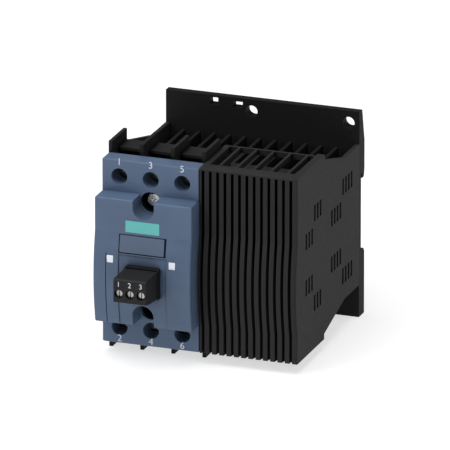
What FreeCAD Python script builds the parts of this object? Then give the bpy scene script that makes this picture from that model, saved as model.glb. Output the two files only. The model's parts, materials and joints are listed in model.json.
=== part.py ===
"""Three-phase solid state relay on a 90 mm heat sink, for a 35 mm rail, in millimetres.

+X is to the right seen from the front, the front looks along -Y and +Z is up.
The origin is on the rear mounting plane, at the centre line of the rail recess,
half way across the unit.
"""
import FreeCAD, Part
import os
import re

import Sketcher

os.makedirs("parts", exist_ok=True)
doc = FreeCAD.newDocument("solid_state_relay")
Vector = FreeCAD.Vector

# Every y below is given as a depth behind the terminal face, so that y = depth - face_depth.
SIZES = {
    # overall
    "unit_width": 90, "module_width": 45, "plate_height": 95, "plate_rise": 2.2,
    "face_depth": 87.2, "seam_gap": 0.2,
    # front cover
    "cover_top": 44.1, "cover_bottom": -40.2, "cover_lip": 8.2, "cover_wall": 1.8,
    "tier_step": 9.4, "tier_top": 29.5, "tier_bottom": -27.7,
    "bow_top": 14.3, "bow_radius": 101.3, "edge_round": 0.7,
    # power terminals
    "pole_pitch": 14.5, "pole_middle": -22.5, "line_level": 36.5, "load_level": -32.8,
    "access_radius": 3.7, "guide_radius": 4.4, "well_gap": 0.15,
    "head_depth": 10.6, "head_thick": 2.0, "head_radius": 3.2, "shank_radius": 2.0,
    "clamp_thick": 1.0, "clamp_half": 5.4, "clamp_tall": 3.5,
    "bar_thick": 1.4, "bar_half": 3.6, "bar_wide_half": 6.2, "running_gap": 0.06,
    "screw_length": 8.4,
    # fixing screws of the module
    "fix_top": 26.1, "fix_bottom": -22.8, "fix_hole": 4.85, "well_radius": 5.45, "channel_half": 4.9,
    "channel_wall": 1.5, "fix_head_depth": 4.0, "fix_head_thick": 2.6, "fix_head_radius": 3.0,
    # label plate, status windows and inset panel
    "label_left": -33.1, "label_right": -12.7, "label_low": 5.9, "label_high": 13.4,
    "label_thick": 1.5, "label_gap": 0.45, "label_grip": 1.0,
    "window_left": -37.3, "window_right": -8.7, "window_level": 2.3,
    "window_wide": 2.9, "window_tall": 3.3,
    "panel_left": -33.5, "panel_right": -11.2, "panel_top": 4.9, "panel_depth": 0.35,
    "seam_x": 5.7, "seam_width": 0.35,
    # module housing
    "barrier_thick": 1.6, "barrier_front": 7.4, "barrier_back": 27.1,
    "barrier_top": 49.2, "barrier_bottom": -45.3,
    "shelf_front": 16.0, "shelf_top": 44.2, "shelf_bottom": -39.7, "shelf_thick": 1.2,
    "block_top": 31.5, "block_bottom": -27.9, "block_back": 33.2, "bar_depth": 17.8,
    # power stage
    "base_thick": 2.8, "base_top": 35.0, "base_bottom": -30.6, "pad_thick": 0.3,
    "ceramic_thick": 0.8, "chip_thick": 0.5, "chip_side": 7.0, "boss_radius": 4.4,
    # control board and connector
    "board_depth": -2.9, "board_thick": 1.6, "pin_pitch": 5.08,
    "plug_middle": -22.1, "plug_half": 7.4, "plug_front": -27.8, "plug_back": -13.4,
    "plug_top": -0.3, "header_rim": 0.5, "header_lip": 0.7,
    "plug_low": -10.9, "plug_mid": -12.0, "plug_bottom": -12.8,
    "plug_level": -7.1, "plug_hole": 1.95, "plug_screw": 1.7,
    # heat sink
    "web_thick": 6.0, "fin_thick": 1.6, "fin_pitch": 7.1, "fin_count": 11,
    "fin_top": 33.4, "fin_bottom": -29.0, "plate_front": 80.4, "rear_web": 3.0, "web_drop": 5.4,
    "front_fin_count": 6, "front_fin_start": 10.0, "front_fin_drop": 14.0,
    # ribbed heat sink cover
    "ribbed_top": 44.8, "ribbed_bottom": -40.2, "rib_pitch": 3.36, "rib_count": 13,
    "groove_first": 1.6, "groove_mouth": 1.35, "groove_floor": 0.7, "groove_depth": 2.2,
    "ribbed_wall": 3.8, "strip_deep": 6.1, "left_strip": 2.6, "right_strip": 3.3,
    "grille_back": 31.3, "rail_deep": 1.4, "bar_first": 7.2, "bar_pitch": 7.8,
    "bar_count": 5, "bar_wide": 1.2, "bar_tall": 2.4,
    # side walls
    "wall_thick": 1.8, "wall_break": 35.0, "wall_step": 2.2, "wall_flat": 61.5,
    "wall_top": 34.8, "wall_bottom": -30.4,
    "vent_wide": 2.0, "vent_tall": 7.4, "vent_pitch": 3.7,
    # rear mounting plate
    "plate_thin": 3.7, "taper": 15.0, "recess_top": 18.1, "recess_bottom": -14.9,
    "recess_deep": 4.5, "hook_tall": 2.4, "hook_wide": 1.4, "rail_line": 2.8,
    "hole_radius": 2.7, "hole_inset": 5.5, "hole_left": -5.0, "hole_right": 40.0,
    "low_hole_left": -30.0, "low_hole_right": 15.0,
    # rail latch
    "latch_half": 6.0, "latch_flange": 1.3, "latch_gap": 0.3, "latch_nose": 1.7,
    "spring_radius": 1.3, "spring_wire": 0.25,
}

sheet = doc.addObject("Spreadsheet::Sheet", "Sizes")
for row, (alias, value) in enumerate(SIZES.items(), start=1):
    sheet.set(f"A{row}", alias)
    sheet.set(f"B{row}", str(value))
    sheet.setAlias(f"B{row}", alias)
doc.recompute()

ALIAS = re.compile(r"\b[a-z]+(?:_[a-z]+)*\b")


def bind(text):
    """Turn a formula in size names into a spreadsheet expression."""
    return ALIAS.sub(lambda m: "Sizes." + m.group() if m.group() in SIZES else m.group(), text)


def value(text):
    """Work a formula in size names out as a number."""
    return float(sheet.evalExpression(bind(text)))


def at_depth(depth):
    """Formula of the y that lies this depth behind the terminal face."""
    return f"({depth}) - face_depth"


# ---------------------------------------------------------------- primitives and booleans

def place(solid, x, y, z):
    for axis, text in zip("xyz", (x, y, z)):
        solid.setExpression(f"Placement.Base.{axis}", bind(text))
    return solid


def block(name, x, y, z):
    """A box between two formulas on each axis."""
    solid = doc.addObject("Part::Box", name)
    for side, (low, high) in zip(("Length", "Width", "Height"), (x, y, z)):
        solid.setExpression(side, bind(f"({high}) - ({low})"))
    return place(solid, x[0], y[0], z[0])


def rod(name, axis, start, length, radius):
    """A cylinder that runs along +X, +Y or +Z from its start point."""
    solid = doc.addObject("Part::Cylinder", name)
    turn = {"x": FreeCAD.Rotation(Vector(0, 1, 0), 90),
            "y": FreeCAD.Rotation(Vector(1, 0, 0), -90),
            "z": FreeCAD.Rotation()}[axis]
    solid.Placement = FreeCAD.Placement(Vector(), turn)
    solid.setExpression("Radius", bind(radius))
    solid.setExpression("Height", bind(length))
    return place(solid, *start)


def taper_rod(name, start, length, radius, end_radius):
    """A cone along +Y."""
    solid = doc.addObject("Part::Cone", name)
    solid.Placement = FreeCAD.Placement(Vector(), FreeCAD.Rotation(Vector(1, 0, 0), -90))
    solid.setExpression("Radius1", bind(radius))
    solid.setExpression("Radius2", bind(end_radius))
    solid.setExpression("Height", bind(length))
    return place(solid, *start)


def fuse(name, pieces):
    solid = doc.addObject("Part::MultiFuse", name)
    solid.Shapes = pieces
    solid.Refine = True
    return solid


def cut(name, base, tools):
    tool = tools[0] if len(tools) == 1 else fuse(name + "_tools", tools)
    solid = doc.addObject("Part::Cut", name)
    solid.Base = base
    solid.Tool = tool
    solid.Refine = True
    return solid


def common(name, first, second):
    solid = doc.addObject("Part::MultiCommon", name)
    solid.Shapes = [first, second]
    return solid


def group(name, pieces):
    """Separate solids of identical pieces in one object."""
    solid = doc.addObject("Part::Compound", name)
    solid.Links = pieces
    return solid


# ---------------------------------------------------------------- sketches and pads

def plane_of(body, role):
    return next(f for f in body.Origin.OriginFeatures if f.Role == role)


def fix_point(sketch, edge, end, corner):
    """Pin one end of an edge to a corner given as two formulas."""
    for kind, text in zip(("DistanceX", "DistanceY"), corner):
        index = sketch.addConstraint(
            Sketcher.Constraint(kind, -1, 1, edge, end, value(text)))
        sketch.setExpression(f"Constraints[{index}]", bind(text))


def draw_outline(sketch, corners, bows=None):
    """A closed outline; bows maps a side's number to the formula of its arc radius."""
    bows = bows or {}
    points = [Vector(value(u), value(v), 0) for u, v in corners]
    ends = []
    for side, start in enumerate(points):
        stop = points[(side + 1) % len(points)]
        if side in bows:
            radius = value(bows[side])
            chord = stop.sub(start)
            rise = radius - (radius ** 2 - (chord.Length / 2) ** 2) ** 0.5
            outward = Vector(chord.y, -chord.x, 0).normalize()
            middle = (start + stop) * 0.5 + outward * rise
            edge = sketch.addGeometry(Part.Arc(start, middle, stop))
            flipped = sketch.Geometry[edge].StartPoint.distanceToPoint(start) > 1e-6
            ends.append((edge, 2, 1) if flipped else (edge, 1, 2))
        else:
            ends.append((sketch.addGeometry(Part.LineSegment(start, stop)), 1, 2))
    for side, (edge, first, last) in enumerate(ends):
        following, following_first, _ = ends[(side + 1) % len(ends)]
        sketch.addConstraint(
            Sketcher.Constraint("Coincident", edge, last, following, following_first))
        fix_point(sketch, edge, first, corners[side])
        if side in bows:
            index = sketch.addConstraint(Sketcher.Constraint("Radius", edge, value(bows[side])))
            sketch.setExpression(f"Constraints[{index}]", bind(bows[side]))


def new_body(name):
    body = doc.addObject("PartDesign::Body", name)
    doc.recompute()
    return body


def sketch_on(body, name, role, offset="0"):
    sketch = body.newObject("Sketcher::SketchObject", name)
    sketch.AttachmentSupport = [(plane_of(body, role), "")]
    sketch.MapMode = "FlatFace"
    sketch.setExpression("AttachmentOffset.Base.z", bind(offset))
    doc.recompute()
    return sketch


def pad(body, name, role, corners, low, high, bows=None):
    """Pad an outline between two formulas along the normal of its plane."""
    sketch = sketch_on(body, name + "_sketch", role, low)
    draw_outline(sketch, corners, bows)
    feature = body.newObject("PartDesign::Pad", name)
    feature.Profile = sketch
    feature.setExpression("Length", bind(f"({high}) - ({low})"))
    doc.recompute()
    return feature


def repeat(body, name, feature, axis_role, pitch, count):
    """Copy a feature along a body axis at a fixed pitch."""
    pattern = body.newObject("PartDesign::LinearPattern", name)
    pattern.Originals = [feature]
    pattern.Direction = (plane_of(body, axis_role), [""])
    pattern.setExpression("Length", bind(f"({pitch}) * ({count} - 1)"))
    pattern.setExpression("Occurrences", bind(count))
    body.Tip = pattern
    doc.recompute()
    return pattern


def prism(name, role, corners, low, high, bows=None):
    """A body made of one padded outline."""
    body = new_body(name)
    pad(body, name + "_pad", role, corners, low, high, bows)
    return body


def rectangle(x, y):
    return [(x[0], y[0]), (x[1], y[0]), (x[1], y[1]), (x[0], y[1])]


def round_edges(body, name, feature, radius, wanted):
    """Fillet the edges of the body's last feature that the test picks."""
    names = [f"Edge{i}" for i, edge in enumerate(feature.Shape.Edges, start=1) if wanted(edge)]
    fillet = body.newObject("PartDesign::Fillet", name)
    fillet.Base = (feature, names)
    fillet.setExpression("Radius", bind(radius))
    doc.recompute()
    return fillet


POLES = [f"pole_middle + ({step}) * pole_pitch" for step in (-1, 0, 1)]
LEVELS = {"line": "line_level", "load": "load_level"}
FIX_LEVELS = ("fix_top", "fix_bottom")
MODULE_X = ("-module_width", "-seam_gap")
nodes = {}


# ---------------------------------------------------------------- front cover and its fittings

def front_profile(inset="0", ends="0"):
    """Side outline of the stepped front, moved inwards by the inset, seen along X."""
    back = at_depth("cover_lip")
    face = at_depth(inset)
    crest = at_depth(f"{inset} - tier_step")
    top, bottom = f"cover_top - ({ends})", f"cover_bottom + ({ends})"
    high, low = f"tier_top - ({ends})", f"tier_bottom + ({ends})"
    return [(back, bottom), (back, top), (face, top), (face, high), (crest, high),
            (crest, "bow_top"), (crest, low), (face, low), (face, bottom)]


BOW_SIDE = {5: "bow_radius"}


def along_x(edge):
    first, last = edge.Vertexes[0].Point, edge.Vertexes[-1].Point
    return abs(first.y - last.y) < 1e-6 and abs(first.z - last.z) < 1e-6


def on_front(edge):
    """Edges of the cover that face forwards and run round its visible outline."""
    centre = edge.BoundBox.Center
    return centre.y < value(at_depth("cover_lip")) - 1 and not (
        along_x(edge) and abs(centre.y - value(at_depth("0"))) < 1e-6
        and abs(centre.z) < value("tier_top") + 1)


def make_front_cover():
    outer = new_body("cover_outer")
    shell = pad(outer, "cover_block", "YZ_Plane", front_profile(), *MODULE_X, bows=BOW_SIDE)
    round_edges(outer, "cover_rounds", shell, "edge_round", on_front)
    inner = prism("cover_inner", "YZ_Plane", front_profile("cover_wall", "cover_wall"),
                  "-module_width + cover_wall", "-seam_gap - cover_wall", bows=BOW_SIDE)
    hollow = cut("cover_shell", outer, [inner])

    walls, holes = [], []
    for side, level in LEVELS.items():
        for pole, x in enumerate(POLES, start=1):
            tag = f"{side}_{pole}"
            walls.append(rod(f"guide_{tag}", "y", (x, at_depth("cover_wall / 2"), level),
                             "cover_lip - cover_wall / 2", "guide_radius"))
            holes.append(rod(f"access_{tag}", "y", (x, at_depth("-1"), level),
                             "cover_lip + 2", "access_radius"))
    for end, level, mouth in (("top", "fix_top", "tier_top"), ("low", "fix_bottom", "tier_bottom")):
        reach = "channel_half + channel_wall"
        bottom, top = (level, mouth) if end == "top" else (mouth, level)
        x_walls = (f"pole_middle - ({reach})", f"pole_middle + {reach}")
        depth = (at_depth("-tier_step + cover_wall / 2"), at_depth("cover_wall"))
        walls.append(block(f"channel_wall_{end}", x_walls, depth, (bottom, top)))
        start = ("pole_middle", depth[0], level)
        walls.append(rod(f"channel_end_{end}", "y", start, "tier_step + cover_wall / 2", reach))
        open_end = (level, "tier_top + 1") if end == "top" else ("tier_bottom - 1", level)
        x_open = ("pole_middle - channel_half", "pole_middle + channel_half")
        holes.append(block(f"channel_{end}", x_open, (at_depth("-20"), at_depth("0")), open_end))
        start = ("pole_middle", at_depth("-20"), level)
        holes.append(rod(f"channel_round_{end}", "y", start, "20", "channel_half"))
        beyond = ("tier_top", "tier_top + 10") if end == "top" else ("tier_bottom - 10", "tier_bottom")
        holes.append(block(f"channel_trim_{end}", x_walls, (at_depth("-20"), at_depth("0")),
                           beyond))
        holes.append(rod(f"fix_access_{end}", "y", start, "20 + cover_lip + 1", "fix_hole"))

    front = at_depth("-20")
    crest = at_depth("-tier_step")
    holes.append(block("label_recess",
                       ("label_left - label_gap", "label_right + label_grip"),
                       (front, at_depth("-tier_step + label_thick")),
                       ("label_low - label_gap", "label_high + label_gap")))
    for side in ("left", "right"):
        x = (f"window_{side} - window_wide / 2", f"window_{side} + window_wide / 2")
        z = ("window_level - window_tall / 2", "window_level + window_tall / 2")
        holes.append(block(f"window_hole_{side}", x, (front, at_depth("0")), z))
    holes.append(block("plug_hole", ("plug_middle - plug_half - 0.1",
                                     "plug_middle + plug_half + header_rim + 0.1"),
                       (front, at_depth("0")),
                       ("plug_bottom - header_rim - 0.1", "plug_top + header_lip + 0.1")))
    backing = block("label_backing", ("label_left - 2", "label_right + 3"),
                    (f"{crest} + label_thick", f"{crest} + label_thick + 1.4"),
                    ("label_low - 2", "label_high + 2"))
    body = cut("cover_body", fuse("cover_walled", [hollow, backing] + walls), holes)

    # the inset panel and the fine seam follow the bowed front at a constant depth
    inset = prism("panel_keep", "YZ_Plane", front_profile("panel_depth", "0"),
                  "panel_left", "panel_right", bows=BOW_SIDE)
    zone = block("panel_zone", ("panel_left", "panel_right"), (front, at_depth("-tier_step + 2")),
                 ("tier_bottom - 1", "panel_top"))
    seam_keep = prism("seam_keep", "YZ_Plane", front_profile("panel_depth", "0"),
                      "-module_width + seam_x", "-module_width + seam_x + seam_width",
                      bows=BOW_SIDE)
    seam_zone = block("seam_zone",
                      ("-module_width + seam_x", "-module_width + seam_x + seam_width"),
                      (front, at_depth("-tier_step + 2")), ("tier_bottom - 1", "panel_top"))
    nodes["front_cover"] = cut("front_cover", body, [
        cut("panel_skin", zone, [inset]), cut("seam_skin", seam_zone, [seam_keep])])


def make_label_and_windows():
    whole = prism("label_whole", "YZ_Plane", front_profile(), "label_left", "label_right",
                  bows=BOW_SIDE)
    zone = block("label_zone", ("label_left", "label_right"),
                 (at_depth("-20"), at_depth("-tier_step + label_thick")),
                 ("label_low", "label_high"))
    nodes["label_plate"] = common("label_plate", whole, zone)
    guides = []
    for side in ("left", "right"):
        x = (f"window_{side} - window_wide / 2", f"window_{side} + window_wide / 2")
        z = ("window_level - window_tall / 2", "window_level + window_tall / 2")
        guides.append(block(f"light_guide_{side}", x,
                            (at_depth("-tier_step - 1.75"), at_depth("board_depth - 1.2")), z))
    nodes["light_guides"] = group("light_guides", guides)


# ---------------------------------------------------------------- module housing

def make_module_housing():
    depth = (at_depth("cover_lip + 0.1"), at_depth("block_back"))
    pieces = [block("housing_block", MODULE_X, depth, ("block_bottom", "block_top"))]
    back = (at_depth("bar_depth + bar_thick"), at_depth("barrier_back"))
    lip = (at_depth("shelf_front"), at_depth("barrier_back"))
    ends = {"top": ("block_top", "shelf_top", "shelf_top - shelf_thick", "shelf_top"),
            "low": ("shelf_bottom", "block_bottom", "shelf_bottom", "shelf_bottom + shelf_thick")}
    for end, (low, high, shelf_low, shelf_high) in ends.items():
        pieces.append(block(f"housing_back_{end}", MODULE_X, back, (low, high)))
        pieces.append(block(f"housing_shelf_{end}", MODULE_X, lip, (shelf_low, shelf_high)))
    step = "(module_width - barrier_thick - seam_gap) / 3"
    depth = (at_depth("barrier_front + 1"), at_depth("barrier_back"))
    for number in range(4):
        left = f"-module_width + {number} * {step}"
        pieces.append(block(f"barrier_{number}", (left, f"{left} + barrier_thick"), depth,
                            ("barrier_bottom", "barrier_top")))
    for end, level in zip(("top", "low"), FIX_LEVELS):
        start = ("pole_middle", at_depth("cover_wall + well_gap"), level)
        pieces.append(rod(f"fix_well_{end}", "y", start, "10", "well_radius"))
    for number, (x, z) in enumerate(BOARD_FIXINGS):
        start = (x, at_depth("board_depth + board_thick"), z)
        pieces.append(rod(f"board_post_{number}", "y", start, "12", "2.4"))

    behind = (at_depth("barrier_back"), at_depth("block_back + 1"))
    room = [block("side_panel_room", ("-module_width - 1", "-module_width + wall_thick + 0.2"),
                  behind, ("block_bottom - 1", "block_top + 1")),
            block("power_room", ("-module_width + wall_thick + 1.8", "-seam_gap - 2"),
                  (at_depth("14"), at_depth("block_back + 1")),
                  ("block_bottom + 2", "block_top - 2")),
            block("lead_window", ("pole_middle - 18.5", "pole_middle + 18.5"),
                  (at_depth("7"), at_depth("15")), ("-9", "10"))]
    for pole, x in enumerate(POLES, start=1):
        wide = (f"{x} - bar_half - 0.15", f"{x} + bar_half + 0.15")
        slot = (at_depth("bar_depth"), at_depth("bar_depth + bar_thick"))
        room.append(block(f"bar_slot_top_{pole}", wide, slot, ("block_top - 4", "block_top + 8")))
        room.append(block(f"bar_slot_low_{pole}", wide, slot,
                          ("block_bottom - 8", "block_bottom + 4")))
        for side, level in LEVELS.items():
            start = (x, at_depth("bar_depth"), level)
            room.append(rod(f"thread_room_{side}_{pole}", "y", start, "8", "shank_radius + 0.4"))
    wide = ("pole_middle - bar_wide_half - 0.1", "pole_middle + bar_wide_half + 0.1")
    slot = (at_depth("bar_depth"), at_depth("bar_depth + bar_thick"))
    room.append(block("wide_slot_top", wide, slot, ("block_top - 4", "block_top")))
    room.append(block("wide_slot_low", wide, slot, ("block_bottom", "block_bottom + 4")))
    hollow = cut("housing_hollow", fuse("housing_solid", pieces), room)
    bosses, bores = [], []
    for end, level in zip(("top", "low"), FIX_LEVELS):
        start = ("pole_middle", at_depth("13"), level)
        bosses.append(rod(f"fix_boss_{end}", "y", start, "block_back - 13",
                          "boss_radius"))
        start = ("pole_middle", at_depth("0"), level)
        bores.append(rod(f"fix_bore_{end}", "y", start, "block_back + 1", "shank_radius + 0.2"))
        bores.append(rod(f"fix_recess_{end}", "y", start,
                         "fix_head_depth + fix_head_thick", "fix_hole - 0.1"))
    for number, (x, z) in enumerate(BOARD_FIXINGS):
        start = (x, at_depth("board_depth"), z)
        bores.append(rod(f"board_bore_{number}", "y", start, "9", "1.25"))
    nodes["module_housing"] = cut(
        "module_housing", fuse("housing_bossed", [hollow] + bosses), bores)


# ---------------------------------------------------------------- power stage

def make_power_stage():
    ceramic_front = "block_back - ceramic_thick"
    x = ("-module_width + wall_thick + 0.4", "-1.2")
    base = block("base_slab", x, (at_depth("block_back"), at_depth("block_back + base_thick")),
                 ("base_bottom", "base_top"))
    pad_slab = block("pad_slab", x, (at_depth("block_back + base_thick"),
                                     at_depth("block_back + base_thick + pad_thick")),
                     ("fin_bottom", "fin_top"))
    holes = [rod(f"base_hole_{end}", "y", ("pole_middle", at_depth("block_back - 1"), level),
                 "6", "shank_radius + 0.2") for end, level in zip(("top", "low"), FIX_LEVELS)]
    holes_again = [rod(f"pad_hole_{end}", "y", ("pole_middle", at_depth("block_back - 1"), level),
                       "6", "shank_radius + 0.2") for end, level in zip(("top", "low"), FIX_LEVELS)]
    nodes["module_baseplate"] = cut("module_baseplate", base, holes)
    nodes["thermal_pad"] = cut("thermal_pad", pad_slab, holes_again)
    nodes["ceramic_substrate"] = block(
        "ceramic_substrate", ("pole_middle - 18.2", "pole_middle + 18.2"),
        (at_depth(ceramic_front), at_depth("block_back")), ("-16", "19.5"))

    chips, leads = [], []
    for pole, centre in enumerate(POLES, start=1):
        for side, shift in (("line", "6.6"), ("load", "-3.6")):
            z = (f"{shift} - chip_side / 2", f"{shift} + chip_side / 2")
            chips.append(block(f"chip_{side}_{pole}",
                               (f"{centre} - chip_side / 2", f"{centre} + chip_side / 2"),
                               (at_depth(f"{ceramic_front} - chip_thick"),
                                at_depth(ceramic_front)), z))
            start = (f"{centre} + 2.5", at_depth("board_depth + board_thick"), shift)
            leads.append(rod(f"gate_lead_{side}_{pole}", "y", start,
                             f"{ceramic_front} - chip_thick - board_depth - board_thick", "0.4"))
    nodes["thyristor_chips"] = group("thyristor_chips", chips)
    nodes["gate_leads"] = group("gate_leads", leads)


def make_busbar(side, pole, centre):
    """A bar from the terminal through the housing floor to the ceramic, with its thread hole."""
    up = side == "line"
    far, foot = ("line_level + 3.6", "14.2") if up else ("load_level - 3.6", "-10.6")
    inner = f"{foot} - bar_thick" if up else f"{foot} + bar_thick"
    front, behind = at_depth("bar_depth"), at_depth("bar_depth + bar_thick")
    rear = at_depth("block_back - ceramic_thick")
    corners = [(front, far), (behind, far), (behind, foot), (rear, foot), (rear, inner),
               (front, inner)]
    bar = prism(f"bar_{side}_{pole}", "YZ_Plane", corners if up else corners[::-1],
                f"{centre} - bar_half", f"{centre} + bar_half")
    level = LEVELS[side]
    holes = [rod(f"bar_thread_{side}_{pole}", "y", (centre, at_depth("bar_depth - 1"), level),
                 "4", "shank_radius + running_gap")]
    if pole == 2:
        # the middle bar widens round the boss of the fixing screw
        end = ("16", "block_top - 0.1") if up else ("block_bottom + 0.1", "-12.4")
        wide = block(f"bar_wide_{side}", (f"{centre} - bar_wide_half", f"{centre} + bar_wide_half"),
                     (front, behind), end)
        bar = fuse(f"bar_joined_{side}", [bar, wide])
        holes.append(rod(f"bar_pass_{side}", "y",
                         (centre, at_depth("bar_depth - 1"), "fix_top" if up else "fix_bottom"),
                         "4", "boss_radius + 0.1"))
    return cut(f"busbar_{side}_{pole}", bar, holes)


def make_terminals():
    """Busbars, captive clamp plates and terminal screws of the six power poles."""
    for side, level in LEVELS.items():
        bars = []
        for pole, x in enumerate(POLES, start=1):
            bars.append(make_busbar(side, pole, x))
            tag = f"{side}_{pole}"
            seat = "head_depth + head_thick"
            plate = block(f"clamp_slab_{tag}", (f"{x} - clamp_half", f"{x} + clamp_half"),
                          (at_depth(seat), at_depth(f"{seat} + clamp_thick")),
                          (f"{level} - clamp_tall", f"{level} + clamp_tall"))
            wings = [block(f"clamp_wing_{tag}_{end}", wing,
                           (at_depth(f"{seat} + clamp_thick"),
                            at_depth(f"{seat} + clamp_thick + 1.2")),
                           (f"{level} - clamp_tall", f"{level} + clamp_tall"))
                     for end, wing in enumerate((
                         (f"{x} - clamp_half", f"{x} - clamp_half + 0.8"),
                         (f"{x} + clamp_half - 0.8", f"{x} + clamp_half")))]
            bore = rod(f"clamp_bore_{tag}", "y", (x, at_depth(f"{seat} - 1"), level), "5",
                       "shank_radius + running_gap")
            nodes[f"{side}_clamp_{pole}"] = cut(
                f"{side}_clamp_{pole}", fuse(f"clamp_solid_{tag}", [plate] + wings), [bore])
            nodes[f"{side}_screw_{pole}"] = make_screw(
                f"{side}_screw_{pole}", (x, "head_depth", level), "head_radius", "head_thick",
                "shank_radius", "screw_length", "0.5")
        nodes[f"{side}_busbars"] = group(f"{side}_busbars", bars)


def make_screw(name, place_of_head, head, thick, shank, length, slot, slotted=False):
    """A cheese head screw along +Y with a cross recess, or one straight slot, in its head."""
    x, depth, z = place_of_head
    rim = "0.3"
    pieces = [taper_rod(name + "_rim", (x, at_depth(depth), z), rim, f"{head} - {rim}", head),
              rod(name + "_head", "y", (x, at_depth(f"{depth} + {rim}"), z),
                  f"{thick} - {rim}", head),
              rod(name + "_shank", "y", (x, at_depth(f"{depth} + {thick}"), z), length, shank)]
    reach = f"({head}) * 1.1" if slotted else f"({head}) * 0.62"
    recess = (at_depth(f"{depth} - 1"), at_depth(f"{depth} + ({thick}) * 0.55"))
    slots = [block(name + "_slot_a", (f"{x} - {slot}", f"{x} + {slot}"), recess,
                   (f"{z} - {reach}", f"{z} + {reach}"))]
    if not slotted:
        slots.append(block(name + "_slot_b", (f"{x} - {reach}", f"{x} + {reach}"), recess,
                           (f"{z} - {slot}", f"{z} + {slot}")))
    return cut(name, fuse(name + "_solid", pieces), slots)


def make_fixing_screws():
    """The two long screws that hold the module on the heat sink, and their washers."""
    screws, washers = [], []
    for end, level in zip(("top", "low"), FIX_LEVELS):
        screws.append(make_screw(
            f"fixing_screw_{end}", ("pole_middle", "fix_head_depth", level), "fix_head_radius",
            "fix_head_thick - 0.6", "shank_radius", "36.0", "0.55"))
        seat = "fix_head_depth + fix_head_thick - 0.6"
        ring = rod(f"washer_disc_{end}", "y", ("pole_middle", at_depth(seat), level), "0.6",
                   "fix_head_radius + 0.2")
        bore = rod(f"washer_bore_{end}", "y", ("pole_middle", at_depth(f"{seat} - 1"), level),
                   "3", "shank_radius + 0.1")
        washers.append(cut(f"washer_{end}", ring, [bore]))
    nodes["fixing_screws"] = group("fixing_screws", screws)
    nodes["fixing_washers"] = group("fixing_washers", washers)


# ---------------------------------------------------------------- control board and connector

BOARD_FIXINGS = [("pole_middle - 16.5", "22.5"), ("pole_middle + 16.5", "22.5"),
                 ("pole_middle - 16.5", "-20.5"), ("pole_middle + 16.5", "-20.5")]


def board_part(name, x, z, wide, tall, deep):
    """A box-shaped component on the front of the control board."""
    return block(name, (f"{x} - {wide} / 2", f"{x} + {wide} / 2"),
                 (at_depth(f"board_depth - {deep}"), at_depth("board_depth")),
                 (f"{z} - {tall} / 2", f"{z} + {tall} / 2"))


def make_control_board():
    slab = block("board_slab", ("pole_middle - 20", "pole_middle + 20"),
                 (at_depth("board_depth"), at_depth("board_depth + board_thick")),
                 ("-25", "26.8"))
    reach = "channel_half + channel_wall + 0.3"
    holes = []
    for end, level, edge in (("top", "fix_top", "40"), ("low", "fix_bottom", "-40")):
        z = (level, edge) if end == "top" else (edge, level)
        depth = (at_depth("board_depth - 1"), at_depth("2"))
        holes.append(block(f"board_notch_{end}",
                           (f"pole_middle - ({reach})", f"pole_middle + {reach}"), depth, z))
        holes.append(rod(f"board_round_{end}", "y", ("pole_middle", depth[0], level), "8", reach))
    for number, (x, z) in enumerate(BOARD_FIXINGS):
        holes.append(rod(f"board_hole_{number}", "y", (x, at_depth("board_depth - 1"), z), "4",
                         "1.35"))
    nodes["control_board"] = cut("control_board", slab, holes)
    screws = [make_screw(f"board_screw_{number}", (x, "board_depth - 1.4", z), "2.2", "1.4",
                         "1.25", "6", "0.3") for number, (x, z) in enumerate(BOARD_FIXINGS)]
    nodes["board_screws"] = group("board_screws", screws)
    nodes["status_leds"] = group("status_leds", [
        board_part(f"led_{side}", f"window_{side}", "window_level", "2.0", "2.4", "1.1")
        for side in ("left", "right")])
    nodes["optocouplers"] = group("optocouplers", [
        board_part(f"optocoupler_{pole}", f"{x} * 0.8 - 4.5", "15.2", "6.4", "4.4", "3.2")
        for pole, x in enumerate(POLES, start=1)])
    nodes["control_chip"] = board_part("control_chip", "-38.4", "-10", "5.0", "5.0", "1.2")
    nodes["board_capacitors"] = group("board_capacitors", [
        rod(f"capacitor_{number}", "y", ("-6.6", at_depth("board_depth - 3.6"), z), "3.6", "2.4")
        for number, z in enumerate(("-6", "-12"))])
    nodes["board_resistors"] = group("board_resistors", [
        board_part(f"resistor_{number}", "-38.4", f"{number} * 2.4 + 4.6",
                   "3.2", "1.6", "0.6") for number in range(4)])


def make_header():
    outer = ("plug_middle - plug_half", "plug_middle + plug_half + header_rim")
    shell = block("header_shell", outer, (at_depth("plug_back + 0.1"), at_depth("board_depth")),
                  ("plug_bottom - header_rim", "plug_top + header_lip"))
    room = block("header_room", ("plug_middle - plug_half + 0.7", "plug_middle + plug_half - 0.7"),
                 (at_depth("plug_back - 1"), at_depth("board_depth - 1.6")),
                 ("plug_bottom + 0.7", "plug_top - 0.3"))
    sockets, pins = [], []
    for number in (-1, 0, 1):
        x = f"plug_middle + {number} * pin_pitch"
        z = ("plug_level - 0.5", "plug_level + 0.5")
        sockets.append(block(f"pin_slot_{number + 2}", (f"{x} - 0.5", f"{x} + 0.5"),
                             (at_depth("board_depth - 3"), at_depth("board_depth + 1")), z))
        pins.append(block(f"pin_{number + 2}", (f"{x} - 0.5", f"{x} + 0.5"),
                          (at_depth("plug_back + 1.6"), at_depth("board_depth")), z))
    nodes["control_header"] = cut("control_header", shell, [room] + sockets)
    nodes["header_pins"] = group("header_pins", pins)


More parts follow.
